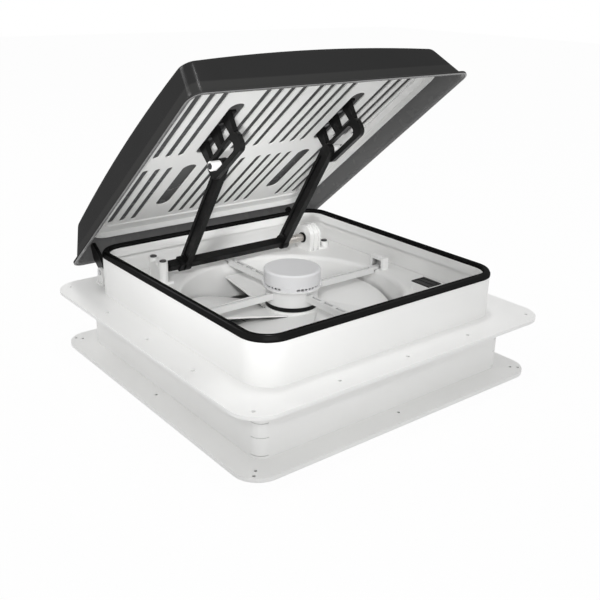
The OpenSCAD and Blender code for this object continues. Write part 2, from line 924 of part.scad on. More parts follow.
// Places of the bosses that hold the liner, in the closed lid
module liner_boss_places() {
    for (sx = [-1, 1])
        for (y = [-liner_boss_y, 0, liner_boss_y])
            translate([sx * liner_boss_x, y])
                children();
}

// Places of the screws of one track, in the closed lid
module track_screw_places() {
    for (u = spread(finger_n - 1, finger_step))
        translate([0, (track_rear + track_front) / 2 + u])
            children();
}

// Smoked lid shell with its bead and its inner bosses
module lid_shell() color([0.16, 0.16, 0.17, 0.9]) on_lid() {
    boss = 5;
    difference() {
        union() {
            lid_form(0);
            translate([0, lid_mid_y, lid_rim])
                linear_extrude(bead_h)
                    rounded_square(lid_half, (lid_rear_y - lid_front_y) / 2, lid_r + bead_w);
        }
        lid_form(lid_wall, eps);
    }
    intersection() {
        lid_form(lid_wall / 2);
        union() {
            translate([0, 0, liner_top])
                linear_extrude(dome_h)
                    liner_boss_places()
                        circle(boss);
            for (side = [-1, 1])
                translate([side * (track_x + track_t / 2), 0, foot_z + foot_t])
                    linear_extrude(dome_h)
                        track_screw_places()
                            circle(boss);
        }
    }
}

// Narrow slots and wide windows of the liner panel
module liner_slots() {
    middle = [for (i = [0 : 3]) slot_first + i * slot_step];
    side = [for (i = [0 : 2]) outer_first + i * outer_step];
    for (sx = [-1, 1])
        for (sy = [-1, 1]) {
            for (x = concat(middle, side))
                translate([sx * x, sy * (band_half + slot_len / 2)])
                    rounded_square(slot_w / 2, slot_len / 2, slot_w / 2 - 0.01);
            translate([sx * window_x, sy * (band_half + window_len / 2)])
                rounded_square(window_w / 2, window_len / 2, window_w / 2 - 0.01);
        }
}

// Pale liner pan with slots, a lowered border and the seal lip
module lid_liner() color([0.82, 0.82, 0.80]) on_lid() {
    inner_r = lip_r - border_w;
    difference() {
        translate([0, 0, panel_z])
            linear_extrude(liner_t)
                rounded_square(panel_half, panel_half, inner_r);
        translate([0, 0, panel_z - eps])
            linear_extrude(liner_t + 2 * eps)
                liner_slots();
    }
    square_tube(lip_half, lip_r, border_w + 1, border_z, border_z + liner_t);
    square_tube(panel_half + 1, inner_r + 1, 2, border_z, panel_z + liner_t);
    square_tube(lip_half, lip_r, liner_t, lip_z, border_z);
}

// Plates under the rear skirt of the lid that turn on the hinge pins
module lid_hinge_arms() color(black) on_lid() {
    wall_low = bead_h + 1;
    wall_high = 22;
    inner = lid_rear_y - bead_w - lid_wall;
    front = hinge_y - hinge_eye_r;
    intersection() {
        for (side = [-1, 1])
            plate_x(side * hinge_x - hinge_arm_t / 2, side * hinge_x + hinge_arm_t / 2)
                difference() {
                    union() {
                        translate([hinge_y, hinge_z])
                            circle(hinge_eye_r);
                        polygon([[front, hinge_z], [hinge_y + hinge_eye_r, hinge_z],
                            [inner - skirt_slope * wall_low, lid_rim + wall_low],
                            [inner - skirt_slope * wall_high, lid_rim + wall_high],
                            [inner - skirt_slope * wall_high - 8, lid_rim + wall_high],
                            [front, lid_rim]]);
                    }
                    translate([hinge_y, hinge_z])
                        circle(hinge_pin_r + run_gap);
                }
        union() {
            lid_form(lid_wall);
            translate([-lid_half, 0, 0])
                cube([2 * lid_half, inner, lid_rim]);
        }
    }
}

// Clevis brackets on the roof flange
module hinge_brackets() color(white) {
    base_t = 3;
    base_front = collar_half + 1;
    base_rear = hinge_y + hinge_eye_r + 3;
    reach = hinge_arm_t / 2 + lug_gap;
    for (side = [-1, 1]) {
        plate_x(side * hinge_x - reach - lug_t - 2, side * hinge_x + reach + lug_t + 2)
            translate([base_front, flange_t])
                square([base_rear - base_front, base_t]);
        for (x = [side * hinge_x - reach - lug_t, side * hinge_x + reach])
            plate_x(x, x + lug_t)
                difference() {
                    union() {
                        translate([hinge_y, hinge_z])
                            circle(hinge_eye_r);
                        polygon([[hinge_y - hinge_eye_r, hinge_z],
                            [hinge_y - hinge_eye_r - 2, flange_t + base_t / 2],
                            [hinge_y + hinge_eye_r + 2, flange_t + base_t / 2],
                            [hinge_y + hinge_eye_r, hinge_z]]);
                    }
                    translate([hinge_y, hinge_z])
                        circle(hinge_pin_r);
                }
    }
}

// Pins of the lid hinge with their heads
module hinge_pins() color(steel) {
    reach = hinge_arm_t / 2 + lug_gap + lug_t;
    head = 1.5;
    for (side = [-1, 1]) {
        rod_x(hinge_pin_r, side * hinge_x - reach - head / 2, side * hinge_x + reach + head / 2,
            hinge_y, hinge_z);
        for (x = [side * hinge_x - reach - head, side * hinge_x + reach])
            rod_x(hinge_pin_r + 1.2, x, x + head, hinge_y, hinge_z);
    }
}

// Square cross shaft with its left journal
module lift_shaft() color(black) on_lift() {
    collar = shaft_w / 2 + 2.2;
    difference() {
        union() {
            plate_x(-shaft_left, shaft_right)
                rounded_square(shaft_w / 2, shaft_w / 2, 1);
            plate_x(-arm_x - arm_t / 2 - 7, -arm_x - arm_t / 2)
                rounded_square(collar, collar, 2);
            rod_x(journal_r, -bearing_x - bearing_len / 2 + bearing_floor + 1, -shaft_left + eps, 0, 0);
        }
        rod_x(output_r, arm_x - arm_t - 10, shaft_right + eps, 0, 0);
    }
}

// Lift arm with its hub, grooved faces and roller eye
module lift_arm(side) {
    groove_d = 2.2;
    groove_w = arm_w - 8;
    groove_from = arm_hub_r + 4;
    groove_to = arm_len - arm_w / 2 - 3;
    x0 = side * arm_x - arm_t / 2;
    on_lift()
        difference() {
            plate_x(x0, x0 + arm_t)
                difference() {
                    union() {
                        circle(arm_hub_r);
                        translate([-arm_len, 0])
                            circle(arm_w / 2);
                        translate([-arm_len, -arm_w / 2])
                            square([arm_len, arm_w]);
                    }
                    rounded_square(shaft_w / 2, shaft_w / 2, 1);
                }
            mirror([side < 0 ? 1 : 0, 0, 0])
                rod_x(roller_pin_r, arm_x - arm_t / 2 + pin_cover, arm_x + arm_t / 2 + eps, -arm_len, 0);
            for (x = [x0 - eps, x0 + arm_t - groove_d])
                plate_x(x, x + groove_d + eps)
                    translate([-groove_to, -groove_w / 2])
                        square([groove_to - groove_from, groove_w]);
        }
}

// Pin through a roller, with an outer head
module roller_pin(side) {
    inner = arm_x - arm_t / 2 + pin_cover;
    outer = arm_x + arm_t / 2 + 0.7 + roller_len;
    head = 1.4;
    on_lift()
        mirror([side < 0 ? 1 : 0, 0, 0]) {
            rod_x(roller_pin_r, inner, outer + head / 2 + run_gap, -arm_len, 0);
            rod_x(roller_pin_r + 1.3, outer + run_gap, outer + head, -arm_len, 0);
        }
}

// Roller that runs in a lid track
module roller(side) {
    inner = arm_x + arm_t / 2 + 0.7;
    on_lift()
        mirror([side < 0 ? 1 : 0, 0, 0])
            difference() {
                rod_x(roller_r, inner, inner + roller_len, -arm_len, 0);
                rod_x(roller_pin_r + run_gap, inner - eps, inner + roller_len + eps, -arm_len, 0);
            }
}

// Slotted track with tapered fingers up to a foot under the lid
module lid_track(side) {
    mid = (track_rear + track_front) / 2;
    foot_half = 10;
    x0 = side > 0 ? track_x : -track_x - track_t;
    on_lid() {
        plate_x(x0, x0 + track_t) {
            difference() {
                translate([mid, (track_bottom + track_top) / 2])
                    rounded_square((track_rear - track_front) / 2, (track_top - track_bottom) / 2,
                        track_corner);
                for (y = [track_slot_front, track_slot_rear])
                    translate([y, track_z])
                        circle(track_slot_r);
                translate([track_slot_front, track_z - track_slot_r])
                    square([track_slot_rear - track_slot_front, 2 * track_slot_r]);
            }
            for (u = spread(finger_n, finger_step))
                translate([mid + u, 0])
                    polygon([[-finger_low_w / 2, track_top - rail_high / 2],
                        [finger_low_w / 2, track_top - rail_high / 2],
                        [finger_top_w / 2, foot_z + foot_t / 2],
                        [-finger_top_w / 2, foot_z + foot_t / 2]]);
        }
        difference() {
            translate([side * (track_x + track_t / 2) - foot_half, track_front, foot_z])
                cube([2 * foot_half, track_rear - track_front, foot_t]);
            translate([side * (track_x + track_t / 2), 0, foot_z - eps])
                linear_extrude(foot_t + 2 * eps)
                    track_screw_places()
                        circle(screw_r);
        }
    }
}

// Screws through the track feet
module track_screws() color(steel) on_lid()
    for (side = [-1, 1])
        translate([side * (track_x + track_t / 2), 0, foot_z])
            track_screw_places()
                mirror([0, 0, 1])
                    pan_screw(foot_t);

// Gear motor inside its housing
module lift_motor() color([0.75, 0.74, 0.73])
    difference() {
        rod_x(motor_r, motor_x, motor_x + motor_len, shaft_y, shaft_z);
        rod_x(neck_r + run_gap, motor_x - eps, motor_x + 11, shaft_y, shaft_z);
    }

// Black ring on the face of the motor housing
module motor_end_ring() color(black)
    difference() {
        rod_x(sleeve_r + 1.8, housing_x - ring_t, housing_x, shaft_y, shaft_z);
        rod_x(neck_r + run_gap, housing_x - ring_t - eps, housing_x + eps, shaft_y, shaft_z);
    }

// Steel sleeve between the gear motor and the cross shaft
module motor_output_shaft() color(steel) on_lift() {
    rod_x(output_r, arm_x - arm_t - 10, shaft_right + eps, 0, 0);
    rod_x(sleeve_r, shaft_right, housing_x - ring_t - 0.4, 0, 0);
    rod_x(neck_r, housing_x - ring_t - eps, motor_x + 10, 0, 0);
}

// White housing round the gear motor with ribs and a screw ear
module motor_housing() color(white) {
    rib = 2;
    rib_t = 3;
    foot_t_housing = 3;
    top_r = housing_over;
    wide = housing_half;
    difference() {
        union() {
            plate_x(housing_x, housing_x + housing_len)
                housing_face(wide - rib, top_r - rib);
            for (x = spread(3, (housing_len - rib_t) / 2))
                translate([housing_x + housing_len / 2 + x, 0, 0])
                    plate_x(-rib_t / 2, rib_t / 2)
                        housing_face(wide, top_r);
            translate([housing_x + housing_len - eps, ear_y - ear_r, deck_z])
                cube([ear_out + eps, 2 * ear_r, foot_t_housing]);
            translate([ear_x, ear_y, deck_z])
                cylinder(r = ear_r, h = ear_h);
        }
        rod_x(motor_r, motor_x, motor_x + motor_len, shaft_y, shaft_z);
        translate([motor_x, shaft_y - motor_r, deck_z - eps])
            cube([motor_len, 2 * motor_r, shaft_z - deck_z + eps]);
        rod_x(neck_r + 0.4, housing_x - eps, motor_x + eps, shaft_y, shaft_z);
        translate([ear_x, ear_y, deck_z])
            cylinder(r = screw_r, h = ear_h + eps);
    }
}

// Arched face of the motor housing, down to the deck
module housing_face(wide, over) {
    translate([shaft_y, shaft_z])
        intersection() {
            circle(max(wide, over));
            translate([-wide, 0])
                square([2 * wide, over]);
        }
    translate([shaft_y - wide, deck_z])
        square([2 * wide, shaft_z - deck_z]);
}

// Screw of the motor housing
module housing_screw() color(steel)
    translate([ear_x, ear_y, deck_z + ear_h])
        pan_screw(ear_h, large_head_r);

// Bearing block of the left shaft end with two screw towers
module bearing_block() color(white) {
    tower_r = 6.5;
    eye = bush_r + 4;
    x0 = -bearing_x - bearing_len / 2;
    difference() {
        union() {
            plate_x(x0 + 6, x0 + bearing_len - 4) {
                translate([shaft_y, shaft_z])
                    circle(eye);
                translate([shaft_y - eye, deck_z])
                    square([2 * eye, shaft_z - deck_z]);
            }
            translate([-bearing_x, shaft_y, deck_z])
                linear_extrude(tower_h)
                    bearing_screw_places()
                        circle(tower_r);
            translate([x0, shaft_y - tower_half - tower_r, deck_z])
                cube([bearing_len, 2 * (tower_half + tower_r), 3]);
        }
        rod_x(bush_r, x0 + bearing_floor, x0 + bearing_len + eps, shaft_y, shaft_z);
        translate([-bearing_x, shaft_y, deck_z + tower_h - 20])
            linear_extrude(21)
                bearing_screw_places()
                    circle(screw_r);
    }
}

// Places of the two tower screws about the block middle
module bearing_screw_places() {
    for (sy = [-1, 1])
        translate([0, sy * tower_half])
            children();
}

// Bush of the left shaft end
module bearing_bush() color([0.72, 0.55, 0.30])
    difference() {
        rod_x(bush_r, -bearing_x - bearing_len / 2 + bearing_floor, -bearing_x + bearing_len / 2 - 4,
            shaft_y, shaft_z);
        rod_x(journal_r + run_gap, -bearing_x - bearing_len, -bearing_x + bearing_len, shaft_y, shaft_z);
    }

// Screws of the bearing block
module bearing_screws() color(steel)
    translate([-bearing_x, shaft_y, deck_z + tower_h])
        bearing_screw_places()
            pan_screw(20, large_head_r);

// White box of the rain sensor on the deck
module sensor_housing() color(white)
    translate([collar_in - sensor_in - sensor_w, -sensor_y - sensor_l, deck_z])
        cube([sensor_w, sensor_l, sensor_h - window_t]);

// Dark window on top of the rain sensor
module sensor_window() color(black)
    translate([collar_in - sensor_in - sensor_w, -sensor_y - sensor_l, deck_z + sensor_h - window_t])
        difference() {
            cube([sensor_w, sensor_l, window_t]);
            for (share = [0.3, 0.7])
                translate([sensor_w * share - 3, 2, window_t - 0.5])
                    cube([6, sensor_l - 4, 1]);
        }

roof_frame();
rim_seal();
ceiling_trim();
screen_frame();
insect_screen();
fan_duct();
duct_screws();
motor_spider();
motor_base_ring();
spoke_sockets();
motor_cover();
fan_motor();
fan_shaft();
fan_impeller();
impeller_nut();
lid_shell();
lid_liner();
lid_hinge_arms();
hinge_brackets();
hinge_pins();
lift_shaft();
color(black) lift_arm(-1);  // lift_arm_left
color(black) lift_arm(1);  // lift_arm_right
color(steel) roller_pin(-1);  // roller_pin_left
color(steel) roller_pin(1);  // roller_pin_right
color(white) roller(-1);  // roller_left
color(white) roller(1);  // roller_right
color(black) lid_track(-1);  // lid_track_left
color(black) lid_track(1);  // lid_track_right
track_screws();
lift_motor();
motor_end_ring();
motor_output_shaft();
motor_housing();
housing_screw();
bearing_block();
bearing_bush();
bearing_screws();
sensor_housing();
sensor_window();
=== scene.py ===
import json
import math

import bmesh
import bpy
from mathutils import Matrix, Vector

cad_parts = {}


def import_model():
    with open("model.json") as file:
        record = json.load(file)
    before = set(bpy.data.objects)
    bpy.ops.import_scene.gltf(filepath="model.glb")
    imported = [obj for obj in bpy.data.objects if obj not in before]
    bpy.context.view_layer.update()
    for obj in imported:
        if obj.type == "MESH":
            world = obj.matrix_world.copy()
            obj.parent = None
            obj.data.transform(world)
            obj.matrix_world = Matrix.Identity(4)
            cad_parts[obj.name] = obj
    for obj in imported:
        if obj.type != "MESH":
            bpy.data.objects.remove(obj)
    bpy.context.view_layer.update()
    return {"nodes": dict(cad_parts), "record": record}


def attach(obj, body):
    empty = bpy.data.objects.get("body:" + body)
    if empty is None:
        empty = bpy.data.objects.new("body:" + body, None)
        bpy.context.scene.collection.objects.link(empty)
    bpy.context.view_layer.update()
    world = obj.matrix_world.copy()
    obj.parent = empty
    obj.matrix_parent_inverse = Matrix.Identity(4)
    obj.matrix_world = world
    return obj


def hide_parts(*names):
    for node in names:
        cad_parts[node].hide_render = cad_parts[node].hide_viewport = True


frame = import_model()
nodes = frame["nodes"]
scene = bpy.context.scene
scene.view_settings.view_transform = "Standard"

# Sizes in millimetres, in the same frame as the part's source
MM = 0.001

# Lid
HINGE = Vector((0, 204.0, 21.2))
LID_OPEN = math.radians(39.5)
LID_RIM = 44.0
LID_HALF = 204.5
LID_HALF_Y = 212.5
LID_MID_Y = 8.5
LID_R = 14.0
LID_WALL = 2.5
BEAD_W = 4.0
BEAD_H = 3.0
BEAD_SOFT = 0.9
ROOT_R = 1.7
SKIRT_SLOPE = 0.3
DOME_H = 68.0
DOME_R = 1950.0
EDGE_SOFT = 4.0
# Height above the rim of the band of painted light on the lid's skirt, and its fade
BAND_H = 19.0
BAND_FADE = 1.0
TO_LID = Matrix.Translation(HINGE) @ Matrix.Rotation(-LID_OPEN, 4, "X") @ Matrix.Translation(-HINGE)

# Where the loops of the lid mesh lie: along the skirt, about its upper edge and over the dome
SKIRT_START = 2.0
SKIRT_STOP = 3.0
SKIRT_SHARES = (0.0, 0.15, 0.35, 0.55, 0.75, 0.9)
EDGE_OFFSETS = (-2.4, -1.8, -1.2, -0.6, 0.0, 0.6, 1.2, 1.8, 2.6, 3.6, 5.0)
DOME_SHARES = (0.97, 0.93, 0.84, 0.72, 0.58, 0.42, 0.26, 0.1)
EDGE_SEARCH = 40.0
EDGE_HALVINGS = 18

# Collar and seal
COLLAR_HALF = 192.0
COLLAR_R = 35.0
COLLAR_TOP = 58.3
SEAL_W = 9.0
SEAL_OUT = 0.6
SEAL_LOW = 56.1
SEAL_LIP_Z = 59.2
SEAL_NECK = 0.5
SEAL_NECK_Z = 60.5
SEAL_TOP = 63.9
SEAL_GAP = 0.1
BULB_STEPS = 12

# Steps of a rounded rectangle: in each corner, along each side, and in a small rounding
CORNERS = ((1, 1), (-1, 1), (-1, -1), (1, -1))
CORNER_STEPS = 10
SIDE_STEPS = 12
SMALL_STEPS = 3

# Width of the softened edges of the plain pieces
SOFT_SEGMENTS = 2
SOFT_ANGLE = math.radians(35)
SOFT_EDGES = {
    "roof_frame": 1.0,
    "ceiling_trim": 0.5,
    "fan_duct": 0.6,
    "motor_spider": 0.5,
    "spoke_sockets": 0.6,
    "lid_liner": 0.8,
    "hinge_brackets": 0.5,
    "lift_arm_left": 0.7,
    "lift_arm_right": 0.7,
    "lid_track_left": 0.7,
    "lid_track_right": 0.7,
    "lift_shaft": 0.5,
    "motor_housing": 0.7,
    "bearing_block": 0.5,
    "sensor_housing": 0.5,
    "roller_left": 0.5,
    "roller_right": 0.5,
}

# Surface patterns: noise scales per metre, the part of the noise that is used, and depths in millimetres
CLOUD_SCALE = 14.0
GLOSS_SCALE = 60.0
NOISE_LOW = 0.3
NOISE_HIGH = 0.7
BUMP_STRENGTH = 0.5
COAT_ROUGH = 0.2
HIGH_IOR = 2.5
# Painted shade in narrow hollows: reach of the occlusion in millimetres, the occlusion values between which
# it darkens, and its samples
CREVICE_REACH = 12.0
SOCKET_REACH = 30.0
CREVICE_DEEP = 0.05
CREVICE_OPEN = 0.42
CREVICE_SAMPLES = 8

# Floor
FLOOR_Z = -78.3
FLOOR_HALF = 6000.0
FLOOR_SQUARES = 8
FLOOR_FADE = 10.0
FLOOR_SCALE = 3.0
FLOOR_DARK = 0.86
FLOOR_LIGHT = 0.89
FLOOR_ROUGH = 0.9
FLOOR_SPEC = 0.1

# Camera, with angles in degrees
CAM_PLACE = Vector((-641.1, -813.6, 410.0))
CAM_AZIMUTH = -38.85
CAM_ELEVATION = 21.38
CAM_ROLL = 1.19
CAM_LENS = 49.57
CAM_SENSOR = 36.0
CAM_NEAR = 10.0


# Shader nodes
def shader_of(mat):
    mat.use_nodes = True
    tree = mat.node_tree
    return tree, tree.links, tree.nodes["Principled BSDF"]


def object_coord(tree):
    return tree.nodes.new("ShaderNodeTexCoord").outputs["Object"]


def noise(tree, coord, scale, detail):
    n = tree.nodes.new("ShaderNodeTexNoise")
    n.inputs["Scale"].default_value = scale
    n.inputs["Detail"].default_value = detail
    tree.links.new(coord, n.inputs["Vector"])
    return n.outputs["Fac"]


def ranged(tree, value, low, high, start=0.0, end=1.0):
    """Low where the value is at start, high where it is at end."""
    n = tree.nodes.new("ShaderNodeMapRange")
    n.inputs["From Min"].default_value = start
    n.inputs["From Max"].default_value = end
    n.inputs["To Min"].default_value = low
    n.inputs["To Max"].default_value = high
    tree.links.new(value, n.inputs["Value"])
    return n.outputs["Result"]


def spread(tree, fac, low, high):
    """Noise stretched over the whole way from low to high."""
    return ranged(tree, fac, low, high, NOISE_LOW, NOISE_HIGH)


def maths(tree, operation, *values):
    n = tree.nodes.new("ShaderNodeMath")
    n.operation = operation
    for i, value in enumerate(values):
        tree.links.new(value, n.inputs[i])
    return n.outputs[0]


def color_mix(tree, blend="MIX"):
    n = tree.nodes.new("ShaderNodeMix")
    n.data_type = "RGBA"
    n.blend_type = blend
    return n


def tint(tree, fac, a, b):
    n = color_mix(tree)
    n.inputs["A"].default_value = (*a, 1)
    n.inputs["B"].default_value = (*b, 1)
    tree.links.new(fac, n.inputs["Factor"])
    return n.outputs["Result"]


def shaded(tree, tone, crevice, reach):
    """Painted shade: a darker tone deep in narrow slots, seams and sockets, made by an ambient occlusion
    node.
    """
    near = tree.nodes.new("ShaderNodeAmbientOcclusion")
    near.samples = CREVICE_SAMPLES
    near.inputs["Distance"].default_value = reach * MM
    shade = ranged(tree, near.outputs["AO"], 1 - crevice, 1.0, CREVICE_DEEP, CREVICE_OPEN)
    n = color_mix(tree, "MULTIPLY")
    n.inputs["Factor"].default_value = 1.0
    tree.links.new(tone, n.inputs["A"])
    tree.links.new(shade, n.inputs["B"])
    return n.outputs["Result"]


# Materials
def grey(value):
    return (value, value, value)


def moulded(name, color, vary, rough, grain=1400.0, depth=0.04, spec=0.4, coat=0.0, coat_ior=1.5,
            metallic=0.0, glow=0.0, crevice=0.0, reach=CREVICE_REACH):
    """Moulded or drawn surface: soft cloudy tone, uneven gloss and a fine grain.

    The glow is painted light, standing for light let through, and crevice darkens narrow hollows with
    painted shade.
    """
    mat = bpy.data.materials.new(name)
    tree, links, shader = shader_of(mat)
    coord = object_coord(tree)
    dark = [max(0.0, c * (1 - vary)) for c in color]
    light = [min(1.0, c * (1 + vary)) for c in color]
    tone = tint(tree, spread(tree, noise(tree, coord, CLOUD_SCALE, 4), 0.0, 1.0), dark, light)
    links.new(shaded(tree, tone, crevice, reach) if crevice else tone, shader.inputs["Base Color"])
    links.new(spread(tree, noise(tree, coord, GLOSS_SCALE, 3), *rough), shader.inputs["Roughness"])
    bump = tree.nodes.new("ShaderNodeBump")
    bump.inputs["Strength"].default_value = BUMP_STRENGTH
    bump.inputs["Distance"].default_value = depth * MM
    links.new(noise(tree, coord, grain, 2), bump.inputs["Height"])
    links.new(bump.outputs["Normal"], shader.inputs["Normal"])
    shader.inputs["Specular IOR Level"].default_value = spec
    shader.inputs["Coat Weight"].default_value = coat
    shader.inputs["Coat Roughness"].default_value = COAT_ROUGH
    shader.inputs["Coat IOR"].default_value = coat_ior
    shader.inputs["Metallic"].default_value = metallic
    shader.inputs["Emission Color"].default_value = (1, 1, 1, 1)
    shader.inputs["Emission Strength"].default_value = glow
    return mat


def smoked(name, tone, vary, rough, **options):
    return moulded(name, grey(tone), vary, rough, grain=500.0, depth=0.01, **options)


def metal(name, color, vary, rough, depth=0.03):
    return moulded(name, color, vary, rough, grain=1600.0, depth=depth, spec=0.5, metallic=1.0)


def painted_light_band(mat, color, height):
    """Painted light: a paler tone up to the given height above the lid rim, standing for light let through
    the smoked wall where no liner stands behind it.
    """
    tree, links, shader = shader_of(mat)
    rise = tree.nodes.new("ShaderNodeAttribute")
    rise.attribute_name = "rise"
    band = ranged(tree, rise.outputs["Fac"], 0.0, 1.0, height + BAND_FADE, height - BAND_FADE)
    n = color_mix(tree)
    links.new(band, n.inputs["Factor"])
    links.new(shader.inputs["Base Color"].links[0].from_socket, n.inputs["A"])
    n.inputs["B"].default_value = (*color, 1)
    links.new(n.outputs["Result"], shader.inputs["Base Color"])


PALE = (0.88, 0.88, 0.87)
# The crevice settings paint shade into the narrow hollows of the white, spider and socket mouldings; the
# socket's is deeper and reaches further
WHITE = moulded("white_moulding", PALE, 0.012, (0.34, 0.44), crevice=0.75)
COVER = moulded("cover_moulding", (0.74, 0.74, 0.75), 0.015, (0.4, 0.5))
SPIDER = moulded("spider_moulding", (0.78, 0.78, 0.775), 0.012, (0.36, 0.46), crevice=0.75)
SOCKET = moulded("socket_moulding", PALE, 0.012, (0.34, 0.44), crevice=0.85, reach=SOCKET_REACH)
LINER = moulded("liner_moulding", PALE, 0.015, (0.42, 0.52))
BLACK = moulded("black_moulding", grey(0.007), 0.25, (0.3, 0.42), grain=1100.0, depth=0.06, spec=0.16)
RUBBER = moulded("seal_rubber", grey(0.004), 0.3, (0.2, 0.3), grain=900.0, depth=0.02, spec=0.0, coat=0.05,
                 coat_ior=HIGH_IOR)
SMOKE_OUT = smoked("smoked_outside", 0.009, 0.1, (0.12, 0.2), spec=0.0, coat=0.1, coat_ior=HIGH_IOR)
# Painted light: the paler band near the rim stands for light let through the smoked skirt
painted_light_band(SMOKE_OUT, (0.019, 0.019, 0.0185), BAND_H)
# Painted light: the lid's inside and edge are paler than its outside and glow faintly, standing for light
# let through the smoked wall and a lit polished edge
SMOKE_IN_PAINTED_LIGHT = smoked("smoked_inside", 0.1, 0.08, (0.2, 0.3), spec=0.2, glow=0.032)
SMOKE_EDGE_PAINTED_LIGHT = smoked("smoked_edge", 0.16, 0.08, (0.2, 0.3), spec=0.5, glow=0.05)
STEEL = metal("zinc_steel", (0.56, 0.56, 0.57), 0.06, (0.28, 0.4))
DARK_STEEL = metal("dark_steel", (0.10, 0.10, 0.105), 0.1, (0.3, 0.42))
CAN = metal("motor_can", (0.62, 0.59, 0.56), 0.06, (0.22, 0.34), depth=0.02)
BRASS = metal("bush_brass", (0.60, 0.42, 0.18), 0.06, (0.28, 0.4))
NET = moulded("screen_net", grey(0.55), 0.06, (0.45, 0.55), grain=1800.0, depth=0.05)

SLOT_MATERIALS = {
    "white_plastic": WHITE,
    "cover_plastic": COVER,
    "seal_rubber": RUBBER,
    "smoked_plastic": SMOKE_OUT,
    "liner_plastic": LINER,
    "black_plastic": BLACK,
    "screen_net": NET,
    "steel": STEEL,
    "dark_steel": DARK_STEEL,
    "motor_can": CAN,
    "bush_brass": BRASS,
}
NODE_MATERIALS = {"motor_spider": SPIDER, "spoke_sockets": SOCKET}


def dress_nodes():
    """Gives each CAD node the material of its slot, or its own where it has one."""
    for sub in frame["record"]["subparts"]:
        name = sub["node"]
        mesh = nodes[name].data
        mesh.materials.clear()
        mesh.materials.append(NODE_MATERIALS.get(name, SLOT_MATERIALS[sub["material_slot"]]))


def soften_edges():
    for name, width in SOFT_EDGES.items():
        mod = nodes[name].modifiers.new("soft_edges", "BEVEL")
        mod.width = width * MM
        mod.segments = SOFT_SEGMENTS
        mod.limit_method = "ANGLE"
        mod.angle_limit = SOFT_ANGLE
        mod.harden_normals = True
        mod.use_clamp_overlap = True


# Outlines and meshes
def arc(mid, radii, start, end, steps):
    """Points of an elliptic arc about mid, with angles in degrees."""
    turns = [math.radians(start + (end - start) * i / steps) for i in range(steps + 1)]
    return [(mid[0] + radii[0] * math.cos(t), mid[1] + radii[1] * math.sin(t)) for t in turns]


def rounded_loop(half_x, half_y, mid_y, r):
    """Points of a rounded rectangle, anticlockwise, the same number for every size."""
    mids = [(sx * (half_x - r), mid_y + sy * (half_y - r)) for sx, sy in CORNERS]
    points = []
    for k, (mid, following) in enumerate(zip(mids, mids[1:] + mids[:1])):
        points += arc(mid, (r, r), 90 * k, 90 * (k + 1), CORNER_STEPS)
        x, y = points[-1]
        run_x, run_y = following[0] - mid[0], following[1] - mid[1]
        points += [(x + run_x * i / SIDE_STEPS, y + run_y * i / SIDE_STEPS) for i in range(1, SIDE_STEPS)]
    return points


def add_object(name, bm):
    mesh = bpy.data.meshes.new(name)
    bm.to_mesh(mesh)
    bm.free()
    obj = bpy.data.objects.new(name, mesh)
    scene.collection.objects.link(obj)
    return obj


def loft(name, loops, closed_ring=False, cap_last=False):
    """Mesh through loops of equal length; loops are lists of (x, y, z) in millimetres."""
    bm = bmesh.new()
    rows = [[bm.verts.new(Vector(p) * MM) for p in loop] for loop in loops]
    count = len(rows[0])
    pairs = list(zip(rows, rows[1:]))
    if closed_ring:
        pairs.append((rows[-1], rows[0]))
    for a, b in pairs:
        for i in range(count):
            j = (i + 1) % count
            bm.faces.new((a[i], a[j], b[j], b[i]))
    if cap_last:
        last = rows[-1]
        centre = bm.verts.new(sum((v.co for v in last), Vector()) / count)
        for i in range(count):
            bm.faces.new((last[i], last[(i + 1) % count], centre))
    bmesh.ops.recalc_face_normals(bm, faces=bm.faces)
    for f in bm.faces:
        f.smooth = True
    return add_object(name, bm)


# Lid skin
def smooth_min(a, b, k):
    h = max(k - abs(a - b), 0.0) / k
    return min(a, b) - h * h * k / 4


def dome_at(x, y):
    """Height of the dome above the lid rim."""
    d2 = x * x + (y - LID_MID_Y) ** 2
    return DOME_H - DOME_R + math.sqrt(DOME_R * DOME_R - d2)


def lid_ring(insets):
    """One loop of the lid, with an inset of its own for each point."""
    return [rounded_loop(LID_HALF - d, LID_HALF_Y - d, LID_MID_Y, LID_R)[i] for i, d in enumerate(insets)]


def edge_insets():
    """Inset of each point of the loop at which the skirt meets the dome."""
    low = [0.0] * len(rounded_loop(LID_HALF, LID_HALF_Y, LID_MID_Y, LID_R))
    high = [EDGE_SEARCH] * len(low)
    for _ in range(EDGE_HALVINGS):
        mid = [(a + b) / 2 for a, b in zip(low, high)]
        for i, (x, y) in enumerate(lid_ring(mid)):
            if mid[i] / SKIRT_SLOPE < dome_at(x, y):
                low[i] = mid[i]
            else:
                high[i] = mid[i]
    return low


def rim_section():
    """Reach beyond the lid's wall and height: the rim bead, its soft edge and the fillet up to the skirt."""
    root_mid = ROOT_R * math.hypot(1, SKIRT_SLOPE) - SKIRT_SLOPE * (BEAD_H + ROOT_R)
    root_end = 180 + math.degrees(math.atan(SKIRT_SLOPE))
    edge = arc((BEAD_W - BEAD_SOFT, BEAD_H - BEAD_SOFT), (BEAD_SOFT, BEAD_SOFT), 0, 90, SMALL_STEPS)
    root = arc((root_mid, BEAD_H + ROOT_R), (ROOT_R, ROOT_R), 270, root_end, SMALL_STEPS)
    return [(BEAD_W, 0.0), *edge, *root]


